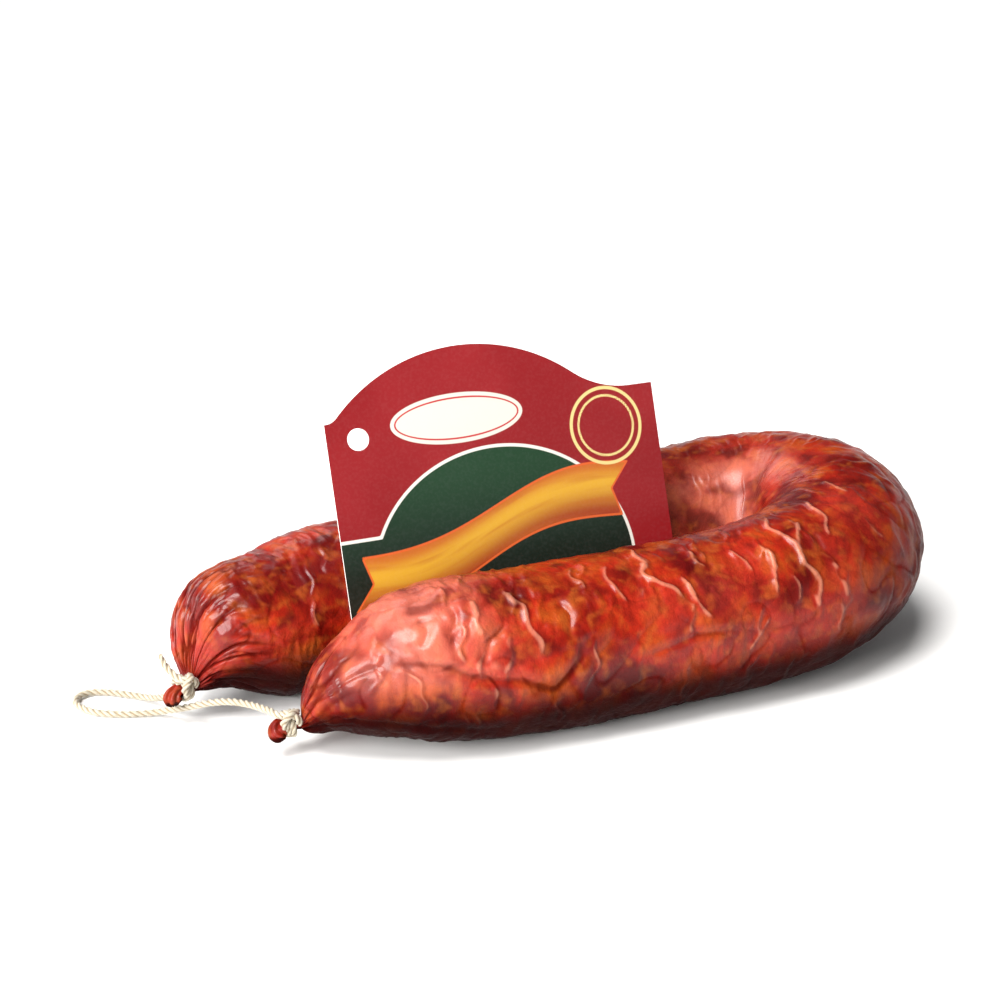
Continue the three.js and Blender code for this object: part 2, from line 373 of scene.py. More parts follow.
# The outline of plies laid side by side, as a share of the strand's radius, at an angle round it.
def ply_outline(angle):
    off = (angle + np.pi / PLIES) % (2 * np.pi / PLIES) - np.pi / PLIES
    half_chord = np.sqrt(np.maximum(PLY_RADIUS**2 - (PLY_SPREAD * np.sin(off)) ** 2, 0))
    return np.maximum(PLY_SPREAD * np.cos(off) + half_chord, PLY_GROOVE)


# Points, faces and shading values of one twisted strand along a path.
def strand(points, first, seed, taper):
    path, length = smooth_path(points, TWINE_STEP)
    tangent = unit(np.gradient(path, axis=0))
    normal = np.zeros_like(path)
    guide = np.cross(tangent[0], TWINE_GUIDE)
    for i, direction in enumerate(tangent):
        guide = guide - direction * guide.dot(direction)
        guide = guide / np.linalg.norm(guide)
        normal[i] = guide
    binormal = np.cross(tangent, normal)
    run = np.linspace(0, length, len(path))
    angles = np.linspace(0, 2 * np.pi, TWINE_COLUMNS, endpoint=False)
    laid = angles[None] - (2 * np.pi * run / LAY_LENGTH)[:, None]
    hair = np.stack([laid * HAIR["around"], run[:, None] / HAIR["length"] + 0 * laid, 0 * laid + seed], -1)
    lumps = UNEVEN["height"] * noise(hair * UNEVEN["scale"], seed + 1)
    narrow = 1 - (1 - taper) * smooth((run - length + TAPER_LENGTH) / TAPER_LENGTH)
    radius = TWINE / 2 * ply_outline(laid) * (1 + HAIR["height"] * noise(hair, seed) + lumps)
    radius = radius * narrow[:, None]
    ring = np.cos(angles)[:, None] * normal[:, None] + np.sin(angles)[:, None] * binormal[:, None]
    body = (path[:, None] + radius[..., None] * ring).reshape(-1, 3)
    verts = np.vstack([body, path[:1] - tangent[:1] * TIP, path[-1:] + tangent[-1:] * TIP])
    values = {
        "lay": np.append(laid.ravel(), [0, 0]),
        "along": np.append(np.repeat(run, TWINE_COLUMNS), [0, length]),
        "groove": np.append((1 - ply_outline(laid)).ravel() / (1 - PLY_GROOVE), [0, 0]),
    }
    return verts, tube_faces(len(path), TWINE_COLUMNS, first), values, path


SEED_STEP = 7


# One object of several strands, and the path of the first.
def twine_object(name, routes, seed, taper=1.0):
    verts, faces, values, paths = [], [], {"lay": [], "along": [], "groove": []}, []
    count = 0
    for k, route in enumerate(routes):
        strand_verts, strand_faces, strand_values, path = strand(route, count, seed + SEED_STEP * k, taper)
        verts.append(strand_verts)
        faces += strand_faces
        for key in values:
            values[key].append(strand_values[key])
        paths.append(path)
        count += len(strand_verts)
    joined = {key: np.concatenate(value) for key, value in values.items()}
    return mesh_object(name, np.vstack(verts), faces, joined), paths[0]


# The loop's route, from inside the front knot to behind the back tie. Its middle points are the part's own.
LOOP = [
    (-4.5, -0.5, 10.8),
    (-5.6, 1, 10.9),
    (-6.2, 3.6, 10.7),
    (-7.6, 8.2, 10),
    (-9.6, 12.8, 9.3),
    (-12.2, 17, 8.4),
    (-15, 20.6, 7.1),
    (-17.8, 23.7, 5.6),
    (-20.5, 27.1, 3.9),
    (-23, 30.6, 2.3),
    (-26.2, 33.2, 1.2),
    (-30.6, 35.1, 0.95),
    (-34.8, 37.2, 0.95),
    (-38.2, 40, 0.95),
    (-40.5, 43.4, 0.95),
    (-41.2, 47, 0.95),
    (-39.7, 50, 0.95),
    (-36.6, 50.9, 0.95),
    (-33.2, 49.4, 0.95),
    (-30, 47, 0.95),
    (-27.2, 44.5, 0.95),
    (-25.2, 41.7, 1.3),
    (-23.8, 38.5, 2.2),
    (-22.8, 35.3, 3.6),
    (-21.9, 32.6, 5.2),
    (-20.7, 29.3, 7.2),
]

twine_loop, loop_route = twine_object("twine_loop_strand", [LOOP], 11)
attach(twine_loop, "root")
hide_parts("twine_loop")

WRAP_RADIUS = NECK_RADIUS + TWINE / 2
WRAP_TURNS = 2.0
WRAP_POINTS = 12
WRAP_SPAN = 1.35 * WRAP_PITCH
FRONT_WRAP_PHASE = 0.4
BACK_WRAP_PHASE = 1.9


# A point by its distances from a tie's middle: out along the neck, round it and off its axis.
def tie_point(tie, out, round_it, off):
    middle, outward, across, radial = tie
    return middle + outward * out + across * round_it + radial * off


def tie_axes(at_front, lean):
    neck, outward, side = end_frame(at_front)
    radial = -side * math.sin(lean) + np.array([0, 0, 1.0]) * math.cos(lean)
    return neck + outward * TIE_AT, outward, np.cross(outward, radial), radial


def wrap_route(tie, phase):
    route = []
    for turn in np.linspace(0, WRAP_TURNS, int(WRAP_TURNS * WRAP_POINTS) + 1):
        angle = phase + 2 * np.pi * turn
        out = (turn / WRAP_TURNS - 0.5) * WRAP_SPAN
        route.append(tie_point(tie, out, WRAP_RADIUS * math.sin(angle), WRAP_RADIUS * math.cos(angle)))
    return route


# The two strands that cross over a tie's wraps.
KNOT_ROUTES = [
    [(-1.7, -1.2, 2.1), (-1.6, -1, 3.2), (-0.8, -0.3, 4.1), (0.5, 0.3, 4.3), (1.6, 0.9, 3.5), (2, 1.4, 2.2)],
    [(-1.4, 1.5, 2.4), (-1, 0.9, 3.5), (0.1, 0, 4.9), (1.3, -0.8, 4.2), (1.9, -1.5, 3), (1.4, -2.1, 1.8)],
]


def tie_routes(at_front, lean, phase):
    tie = tie_axes(at_front, lean)
    return [wrap_route(tie, phase)] + [[tie_point(tie, *p) for p in route] for route in KNOT_ROUTES]


CUT_TAIL = [
    (-19.6, 24.2, 12.2),
    (-20.6, 24.9, 12.4),
    (-21.4, 26, 12.9),
    (-22.5, 27.6, 13.9),
    (-23.4, 29.2, 15.4),
    (-23.9, 30.6, 17.4),
]
CUT_TAIL_TAPER = 0.7

front_tie, _ = twine_object("front_tie_twine", tie_routes(True, FRONT_KNOT_LEAN, FRONT_WRAP_PHASE), 31)
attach(front_tie, "root")
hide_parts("front_tie")

back_tie, _ = twine_object("back_tie_twine", tie_routes(False, BACK_KNOT_LEAN, BACK_WRAP_PHASE), 57)
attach(back_tie, "root")
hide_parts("back_tie")

cut_tail, _ = twine_object("back_tie_cut_tail", [CUT_TAIL], 83, CUT_TAIL_TAPER)
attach(cut_tail, "root")

# ---- the casing's relief ----

ROW_SPACING = 0.38
COLUMNS = 288

# Creases and raised folds, each a line of (place along the casing, degrees round it from the inner side), with
# its height and its half width.
FOLDS = [
    (0.62, 0.55, [(121, 76), (120, 88), (118, 98), (120, 112), (121, 120), (121, 134), (123, 146), (122, 158),
                  (120, 172)]),
    (0.55, 0.5, [(112, 114), (114, 124), (113, 136), (112, 152)]),
    (0.42, 0.45, [(117, 138), (118, 148), (117, 160)]),
    (0.5, 0.5, [(134, 84), (132, 96), (132, 108), (130, 116), (129, 126)]),
    (0.44, 0.5, [(146, 80), (144, 92), (143, 104)]),
    (0.46, 0.5, [(104, 108), (107, 120), (108, 132)]),
    (0.55, 0.6, [(89, 120), (91, 132), (92, 144), (95, 156)]),
    (0.62, 0.6, [(84, 84), (82, 94), (83, 106), (81, 114), (84, 124), (87, 130), (89, 142)]),
    (0.42, 0.5, [(110, 162), (107, 172), (103, 184)]),
    (0.5, 0.8, [(46, 102), (48, 114), (50, 122), (50, 138), (52, 150), (51, 163)]),
    (0.4, 0.7, [(38, 112), (39, 122), (38, 132), (39, 142)]),
    (0.44, 0.6, [(74, 98), (72, 110), (73, 122), (75, 136)]),
    (0.4, 0.5, [(66, 92), (64, 104), (66, 112), (65, 122)]),
    (0.36, 0.5, [(97, 96), (98, 108), (97, 118)]),
    (0.36, 0.5, [(140, 118), (139, 130), (140, 144)]),
    (-0.36, 0.7, [(76, 172), (84, 168), (92, 164), (102, 167)]),
    (-0.62, 1.0, [(18, 151), (29, 158), (37, 169), (47, 174), (54, 183), (58, 174), (61, 165), (62, 156),
                  (66, 148)]),
    (-0.5, 0.9, [(37, 160), (39, 150), (41, 142), (45, 134)]),
    (-0.4, 0.9, [(33, 112), (34, 124), (32, 136), (33, 146)]),
    (-0.4, 0.8, [(58, 122), (60, 134), (59, 146), (60, 156)]),
    (-0.3, 0.9, [(26, 118), (27, 132), (25, 144)]),
    (-0.36, 1.2, [(4, 186), (9, 202), (28, 210), (46, 214)]),
    (-0.3, 1.0, [(5, 160), (9, 152), (18, 148)]),
]
FOLD_STEP = 0.35
FOLD_REACH = 8
FOLD_ENDS = {"fade": 5, "least": 0.1}
# A raised fold is steep towards the bend and slopes off towards the front end: shares of its half width.
RAISED_SIDES = {"steep": 0.7, "gentle": 1.6}
# A crease has swollen lips: their height as a share of its depth, and their place and width in half widths.
CREASE_LIP = {"height": 0.36, "place": 3, "width": 1.6}
CREASE_SHADE = 0.6


def fold_relief(s, angle, height, width, line):
    points = np.array([(place, math.radians(degrees)) for place, degrees in line])
    flat = np.column_stack([points[:, 0], points[:, 1] * ARM_RADIUS, 0 * points[:, 0]])
    route, _ = smooth_path(flat, FOLD_STEP)
    share = np.linspace(0, 1, len(route))
    strength = smooth(np.minimum(share, 1 - share) * FOLD_ENDS["fade"] + FOLD_ENDS["least"])
    relief = np.zeros((len(s), len(angle)))
    rows = np.where((s > route[:, 0].min() - FOLD_REACH) & (s < route[:, 0].max() + FOLD_REACH))[0]
    for i in rows:
        d2 = ((s[i] - route[:, 0]) ** 2)[None] + (angle[:, None] * ARM_RADIUS - route[:, 1][None]) ** 2
        near = np.argmin(d2, axis=1)
        distance = np.sqrt(d2[np.arange(len(angle)), near])
        if height > 0:
            steep = s[i] > route[near, 0]
            profile = hump(distance, 0, width * np.where(steep, RAISED_SIDES["steep"], RAISED_SIDES["gentle"]))
        else:
            lip = hump(distance / width, CREASE_LIP["place"], CREASE_LIP["width"])
            profile = hump(distance, 0, width) - CREASE_LIP["height"] * lip
        relief[i] = height * strength[near] * profile
    return relief


SCATTERED_WRINKLES = 250
SCATTER_SEED = 7
SCATTER_ON_BEND = {"share": 0.45, "spread": 42}
SCATTER_MARGIN = 14
SCATTER_DEGREES = (-25, 215)
SCATTER_HALF = (3, 8.5)
SCATTER_HEIGHT = (0.14, 0.4)
SCATTER_WIDTH = (0.45, 0.8)
SCATTER_SLANT = 0.35
SCATTER_BOW = 0.06
SCATTER_CROOK = {"height": 0.5, "rate": 0.9}
SCATTER_REACH = 8
# The dip beside a wrinkle: its depth as a share of the wrinkle's height, its place and width in half widths.
SCATTER_DIP = {"depth": 0.45, "place": 1.8, "width": 1.3}


# Short raised wrinkles across the casing, bowed and a little crooked, thickest at the bend, none underneath.
def scattered_wrinkles(s, angle):
    rng = np.random.RandomState(SCATTER_SEED)
    relief = np.zeros((len(s), len(angle)))
    for _ in range(SCATTERED_WRINKLES):
        place = rng.uniform(SCATTER_MARGIN, CENTRELINE - SCATTER_MARGIN)
        if rng.uniform() < SCATTER_ON_BEND["share"]:
            place = BEND_AT + rng.normal() * SCATTER_ON_BEND["spread"]
        centre = math.radians(rng.uniform(*SCATTER_DEGREES))
        half = rng.uniform(*SCATTER_HALF)
        height = rng.uniform(*SCATTER_HEIGHT)
        width = rng.uniform(*SCATTER_WIDTH)
        slant = rng.uniform(-SCATTER_SLANT, SCATTER_SLANT)
        bow = rng.uniform(-SCATTER_BOW, SCATTER_BOW)
        phase = rng.uniform(0, 6.3)
        rows = np.where(np.abs(s - place) < SCATTER_REACH)[0]
        if len(rows) == 0:
            continue
        round_it = (angle - centre + np.pi) % (2 * np.pi) - np.pi
        along = round_it[None] * ARM_RADIUS
        crook = SCATTER_CROOK["height"] * np.sin(along * SCATTER_CROOK["rate"] + phase)
        across = (s[rows] - place)[:, None] - slant * along - bow * along**2 - crook
        window = smooth((1 - np.abs(along) / half) * 2)
        dip = hump(across, SCATTER_DIP["place"] * width, SCATTER_DIP["width"] * width)
        relief[rows] += height * window * (hump(across, 0, width) - SCATTER_DIP["depth"] * dip)
    return relief


# Pleats at each tie: how close they are set, their height, how far they hold and fade, and their seed.
FRONT_PLEATS = {"around": 1.25, "height": 0.6, "hold": 7, "fade": 24, "seed": 201}
BACK_PLEATS = {"around": 2.9, "height": 0.62, "hold": 15, "fade": 28, "seed": 211}
PLEAT_LEAN = 0.012
PLEAT_LENGTH = 26
PLEAT_RISE = 4
PLEAT_LIMIT = 0.2
PLEAT_PUFF = {"height": 0.5, "level": 0.25}
PLEAT_VALLEY = 0.13
FINE_PLEATS = {"scale": [2.3, 2.3, 1.4], "valley": 0.12, "depth": 0.45}
PLEAT_REACH = {"scale": [0.8, 0.8, 0], "change": 0.5}


# Pleats that run in to a tie: puffed lobes with narrow valleys between them. Gives the relief and the valleys.
def pleats(angle, run, radius, kind):
    leaning = angle[None] + PLEAT_LEAN * run[:, None]
    around = kind["around"]
    along = run[:, None] / PLEAT_LENGTH + 0 * leaning
    ring = np.stack([around * np.cos(leaning), around * np.sin(leaning), along], -1)
    wave = noise(ring, kind["seed"])
    fine = noise(ring * FINE_PLEATS["scale"], kind["seed"] + 1)
    change = PLEAT_REACH["change"] * noise(ring * PLEAT_REACH["scale"], kind["seed"] + 2)
    past_hold = run[:, None] - kind["hold"] * (1 + change)
    fading = smooth(run[:, None] / PLEAT_RISE) * (1 - smooth(past_hold / kind["fade"]))
    size = np.minimum(kind["height"], PLEAT_LIMIT * radius)[:, None] * fading
    valley = size * (hump(wave, 0, PLEAT_VALLEY) + FINE_PLEATS["depth"] * hump(fine, 0, FINE_PLEATS["valley"]))
    return PLEAT_PUFF["height"] * size * (np.abs(wave) - PLEAT_PUFF["level"]) - valley, valley


# Height, size and seed of each layer of the skin's unevenness.
LUMPS = ((0.62, 26, 101), (0.4, 12, 102))
COBBLES = ((0.24, 5.5, 103), (0.1, 2.8, 104))
CROSS_WRINKLES = ((0.24, [3.4, 11, 11], 106), (0.1, [1.7, 5, 5], 107))
WRINKLE_DRIFT = (2.2, 9, 105)
WRINKLE_PATCHES = {"gain": 1.3, "size": 17, "seed": 108, "least": 0.35}
PUCKERS = {"height": 0.5, "level": 0.4, "size": 9.5, "seed": 109, "valley": 0.12, "shade": 0.25}
BODY_STARTS = 9
# The skin is stretched smooth on the inner side of the bend, and partly so on the front dome.
SMOOTH_INSIDE = {"at": 184, "spread": 62, "share": 0.8, "from": -0.3, "over": 0.7}
SMOOTH_DOME = {"from": 24, "over": 18, "share": 0.2}
GATHERS = {"count": 7, "height": 0.3, "from": 3, "over": 3, "skew": 0.6}


# The skin's height over its plain shape, how deep in a hollow each point is, for painted shade, and how high
# on a ridge, for paler ridges with a painted highlight.
def casing_relief(rows, angle, base):
    s, radius = rows["s"], rows["radius"]
    top = rows["centre"] + rows["rise"] * radius[:, None]
    run = np.append(0, np.cumsum(np.linalg.norm(np.diff(top, axis=0), axis=1)))
    front_run = run - run[np.argmin(np.abs(s))]
    back_run = run[np.argmin(np.abs(s - CENTRELINE))] - run
    round_it = angle[None] + np.zeros((len(s), 1))
    on_body = (smooth(front_run / BODY_STARTS) * smooth(back_run / BODY_STARTS))[:, None]
    lumps = sum(height * noise(base / size, seed) for height, size, seed in LUMPS)
    cobbles = sum(height * noise(base / size, seed) for height, size, seed in COBBLES)
    pucker = np.abs(noise(base / PUCKERS["size"], PUCKERS["seed"]))
    puckers = PUCKERS["height"] * (np.sqrt(pucker + 0.01) - PUCKERS["level"])

    chart = np.stack(
        [s[:, None] + 0 * round_it, ARM_RADIUS * np.cos(round_it), ARM_RADIUS * np.sin(round_it)], -1
    )
    drift, drift_size, drift_seed = WRINKLE_DRIFT
    bent = chart + drift * noise(base / drift_size, drift_seed)[..., None] * [1, 0, 0]
    patches = WRINKLE_PATCHES["gain"] * noise(base / WRINKLE_PATCHES["size"], WRINKLE_PATCHES["seed"])
    patchy = WRINKLE_PATCHES["least"] + (1 - WRINKLE_PATCHES["least"]) * smooth(0.5 + patches)
    wrinkles = patchy * sum(
        height * (1 - 2 * np.abs(noise(bent / size, seed))) for height, size, seed in CROSS_WRINKLES
    )

    on_bend = hump(s, SMOOTH_INSIDE["at"], SMOOTH_INSIDE["spread"])[:, None]
    inside = smooth((np.cos(round_it) - SMOOTH_INSIDE["from"]) / SMOOTH_INSIDE["over"]) * on_bend
    past_dome = smooth((front_run - SMOOTH_DOME["from"]) / SMOOTH_DOME["over"])[:, None]
    rough = (1 - SMOOTH_INSIDE["share"] * inside) * (1 - SMOOTH_DOME["share"] * (1 - past_dome))
    ridges = scattered_wrinkles(s, angle) * rough * on_body
    relief = lumps * on_body + (cobbles + puckers + wrinkles) * rough * on_body + ridges
    # Painted shade in the pucker valleys, the creases and the pleat valleys.
    hollow_shade = PUCKERS["shade"] * np.maximum(1 - pucker / PUCKERS["valley"], 0) * on_body
    for height, width, line in FOLDS:
        fold = fold_relief(s, angle, height, width, line)
        relief += fold
        ridges += np.maximum(fold, 0)
        hollow_shade += np.maximum(-fold, 0) * CREASE_SHADE
    for side_run, kind in ((front_run, FRONT_PLEATS), (back_run, BACK_PLEATS)):
        folded, valley = pleats(angle, side_run, radius, kind)
        relief += folded
        hollow_shade += valley

    past_tie = np.maximum(-front_run, -back_run)[:, None]
    lobes = np.cos(round_it * GATHERS["count"] + GATHERS["skew"] * np.sin(3 * round_it))
    gathered = GATHERS["height"] * smooth((past_tie - GATHERS["from"]) / GATHERS["over"])
    return relief + lobes * gathered, hollow_shade, np.maximum(ridges, 0)


def surface_normals(points):
    along = np.gradient(points, axis=0)
    around = np.roll(points, -1, 1) - np.roll(points, 1, 1)
    return unit(np.cross(around, along))


# The tag's own axes in the centreline's frame: across, up its face, and out of its printed face.
def tag_axes():
    turn = Matrix.Rotation(TAG_TURN, 3, "Z") @ Matrix.Rotation(math.pi / 2 - TAG_LEAN, 3, "X")
    return np.array(turn).T


TAG_GAP = 0.12
TAG_MARGIN = 3
TAG_PRESSES_TO = 60


# Where the tag stands between the arms it presses the casing in, so nothing shows through the card.
def keep_off_tag(points, rows):
    axes = tag_axes()
    x, y, out = np.moveaxis((points - np.array(TAG_FOOT)) @ axes.T, -1, 0)
    beside = (x > -TAG_MARGIN) & (x < TAG_WIDTH + TAG_MARGIN) & (y > -TAG_MARGIN) & (y < TAG_PRESSES_TO)
    front_arm = (rows["s"] < BEND_AT)[:, None]
    in_front = np.maximum(out, TAG_THICKNESS + TAG_GAP)
    behind = np.minimum(out, -TAG_GAP)
    kept = np.where(beside, np.where(front_arm, in_front, behind), out)
    return points + (kept - out)[..., None] * axes[2]


# Painted shade: the casing is darkened underneath and low on the outer side of the bend, where shade falls,
# and darker on the tails.
UNDER_FROM = 0.3
OUTER_PAINTED_SHADE = {"at": 178, "spread": 50, "share": 0.85, "from": -0.25, "low": 13.75, "fades_by": 55}
TAIL_DARKENING = {"from": 3, "over": 3, "share": 0.3}
# Painted highlight: a pale sheen on top of the front dome and on the inner side of the bend, where the light
# falls.
DOME_PAINTED_SHEEN = {"at": 24, "spread": 20, "from": -0.25, "over": 0.8}
INNER_PAINTED_SHEEN = {"at": 196, "spread": 42, "share": 0.8, "from": -0.1, "over": 0.8}


def painted_shade_and_sheen(rows, angle, base, points):
    s = rows["s"]
    facing_up = surface_normals(base)[..., 2]
    under = smooth(UNDER_FROM - facing_up)
    past_end = np.abs(s - CENTRELINE / 2) - CENTRELINE / 2
    tails = smooth((past_end - TAIL_DARKENING["from"]) / TAIL_DARKENING["over"])[:, None]
    outer = smooth(-np.cos(angle) - OUTER_PAINTED_SHADE["from"])[None]
    outer = outer * hump(s, OUTER_PAINTED_SHADE["at"], OUTER_PAINTED_SHADE["spread"])[:, None]
    outer = outer * smooth(1 - (points[..., 2] - OUTER_PAINTED_SHADE["low"]) / OUTER_PAINTED_SHADE["fades_by"])
    painted_shade = np.maximum(np.maximum(under, TAIL_DARKENING["share"] * tails), OUTER_PAINTED_SHADE["share"] * outer)
    dome = smooth((facing_up - DOME_PAINTED_SHEEN["from"]) / DOME_PAINTED_SHEEN["over"])
    dome = dome * hump(s, DOME_PAINTED_SHEEN["at"], DOME_PAINTED_SHEEN["spread"])[:, None]
    inner = smooth((np.cos(angle) - INNER_PAINTED_SHEEN["from"]) / INNER_PAINTED_SHEEN["over"])[None]
    inner = inner * hump(s, INNER_PAINTED_SHEEN["at"], INNER_PAINTED_SHEEN["spread"])[:, None]
    return painted_shade, np.maximum(dome, INNER_PAINTED_SHEEN["share"] * inner)


def make_casing():
    rows = casing_sections(ROW_SPACING)
    angle = np.linspace(0, 2 * np.pi, COLUMNS, endpoint=False)
    base = skin_points(rows, angle)
    relief, hollow_shade, raised = casing_relief(rows, angle, base)
    points = base + surface_normals(base) * relief[..., None]
    points = keep_off_tag(points, rows)
    points[..., 2] = np.maximum(points[..., 2], 0)
    painted_shade, painted_sheen = painted_shade_and_sheen(rows, angle, base, points)
    ends = np.array([rows["centre"][0], rows["centre"][-1]])
    verts = np.vstack([points.reshape(-1, 3), ends])
    spread = {"hollow_shade": hollow_shade, "painted_sheen": painted_sheen, "painted_shade": painted_shade, "raised": raised}
    spread = {key: np.append(value.ravel(), [0, 0]) for key, value in spread.items()}
    return mesh_object("sausage_casing", verts, tube_faces(*relief.shape), spread)


casing = make_casing()
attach(casing, "root")
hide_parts("sausage")

# ---- the hang tag ----

TAG_CELL = 0.5
CORE_SLOT = 1
TAG_BOW = {"depth": 0.35, "from": 30, "over": 50}


def fillet(radius):
    rise = TAG_SHOULDER + radius - TAG_DOME["y"]
    reach = math.sqrt((TAG_DOME["radius"] + radius) ** 2 - rise**2)
    return reach, reach * TAG_DOME["radius"] / (TAG_DOME["radius"] + radius)


# The height of the tag's top edge at a place across it.
def tag_top(x):
    off = x - TAG_DOME["x"]
    left_reach, left_joint = fillet(LEFT_FILLET)
    right_reach, right_joint = fillet(RIGHT_FILLET)
    dome = TAG_DOME["y"] + np.sqrt(np.maximum(TAG_DOME["radius"] ** 2 - off**2, 0))
    left = TAG_SHOULDER + LEFT_FILLET - np.sqrt(np.maximum(LEFT_FILLET**2 - (off + left_reach) ** 2, 0))
    right = TAG_SHOULDER + RIGHT_FILLET - np.sqrt(np.maximum(RIGHT_FILLET**2 - (off - right_reach) ** 2, 0))
    top = np.where(off < -left_joint, left, np.where(off > right_joint, right, dome))
    return np.where((off < -left_reach) | (off > right_reach), TAG_SHOULDER, top)


# The printed shapes, all of them plain ones.
ARCH = {"x": 42, "y": 30, "wide": 35.2, "high": 31.8}
PANEL = {"top": 43.5, "right": 26}
BAND = {"half": 6.3, "change": 0.5, "change_length": 9, "squeeze": 0.96}
BAND_MIDDLE = {"y": 39.5, "x": 38, "slope": 0.17, "sway": 3.4, "sway_length": 12.5}
BAND_ENDS = {"half": 31.5, "notch": 0.55, "x": 40, "y": 40, "lean": 0.25}
RING = {"x": 73.7, "y": 62.6, "outer": 9.6, "outer_half": 0.42, "inner": 7.6, "inner_half": 0.3}
LABEL = {"x": 34, "y": 69.5, "wide": 17.5, "high": 6.2}
TINY = 1e-6


# About the distance from an ellipse's edge, positive inside.
def inside_ellipse(x, y, shape):
    off_x, off_y = x - shape["x"], y - shape["y"]
    level = np.sqrt((off_x / shape["wide"]) ** 2 + (off_y / shape["high"]) ** 2) + TINY
    slope = np.sqrt((off_x / shape["wide"] ** 2) ** 2 + (off_y / shape["high"] ** 2) ** 2) / level + TINY
    return (1 - level) / slope


# Distances in millimetres from the edges of the printed shapes, positive inside.
def print_distances(x, y):
    panel = np.minimum(PANEL["top"] - y, PANEL["right"] - x)
    along = x - BAND_MIDDLE["x"]
    sway = BAND_MIDDLE["sway"] * np.sin(along / BAND_MIDDLE["sway_length"])
    off = y - (BAND_MIDDLE["y"] + BAND_MIDDLE["slope"] * along + sway)
    past_end = np.abs(x - BAND_ENDS["x"] - BAND_ENDS["lean"] * (y - BAND_ENDS["y"]))
    ends = BAND_ENDS["half"] + BAND_ENDS["notch"] * np.abs(off) - past_end
    half = BAND["half"] + BAND["change"] * np.sin(x / BAND["change_length"])
    ring_off = np.hypot(x - RING["x"], y - RING["y"])
    outer_ring = RING["outer_half"] - np.abs(ring_off - RING["outer"])
    inner_ring = RING["inner_half"] - np.abs(ring_off - RING["inner"])
    return {
        "ground": np.maximum(inside_ellipse(x, y, ARCH), panel),
        "band": np.minimum(half - np.abs(off) * BAND["squeeze"], ends),
        "band_across": off / BAND["half"],
        "ring": np.maximum(outer_ring, inner_ring),
        "label": inside_ellipse(x, y, LABEL),
    }


def make_tag():
    columns = int(TAG_WIDTH / TAG_CELL) + 1
    rows = int(TAG_SHOULDER / TAG_CELL) + 1
    x = np.linspace(0, TAG_WIDTH, columns)[:, None] + np.zeros((1, rows))
    y = tag_top(x) * np.linspace(0, 1, rows)[None]

    # The cells in the hole are left out, and the corners of those left round it are moved to its edge.
    off = np.hypot(x - HOLE["x"], y - HOLE["y"])
    open_point = off < HOLE["radius"] - 0.3 * TAG_CELL
    cut = open_point[:-1, :-1] | open_point[1:, :-1] | open_point[1:, 1:] | open_point[:-1, 1:]
    faces = [
        (i * rows + j, (i + 1) * rows + j, (i + 1) * rows + j + 1, i * rows + j + 1)
        for i, j in zip(*np.where(~cut))
    ]
    beside_cut = np.zeros_like(open_point)
    for i, j in zip(*np.where(cut)):
        beside_cut[i : i + 2, j : j + 2] = True
    scale = np.where(beside_cut, HOLE["radius"] / np.maximum(off, TINY), 1)
    x, y = HOLE["x"] + (x - HOLE["x"]) * scale, HOLE["y"] + (y - HOLE["y"]) * scale

    bow = TAG_BOW["depth"] * np.sin(np.pi * x / TAG_WIDTH) * smooth((y - TAG_BOW["from"]) / TAG_BOW["over"])
    placed = np.stack([x, y, bow], -1).reshape(-1, 3) @ tag_axes() + np.array(TAG_FOOT)
    used = np.unique(np.array(faces))
    renumber = np.full(len(placed), -1)
    renumber[used] = np.arange(len(used))
    faces = [tuple(renumber[i] for i in face) for face in faces]
    x, y = x.ravel()[used], y.ravel()[used]
    shapes = {**print_distances(x, y), "tag_x": x, "tag_y": y}
    tag = mesh_object("hang_tag_card", placed[used], faces, shapes, shade_smooth=False)
    thick = tag.modifiers.new("thickness", "SOLIDIFY")
    thick.thickness = TAG_THICKNESS * MM
    thick.offset = 1
    thick.material_offset = CORE_SLOT
    thick.material_offset_rim = CORE_SLOT
    return tag


tag = make_tag()
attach(tag, "root")
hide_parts("hang_tag")

# ---- materials ----


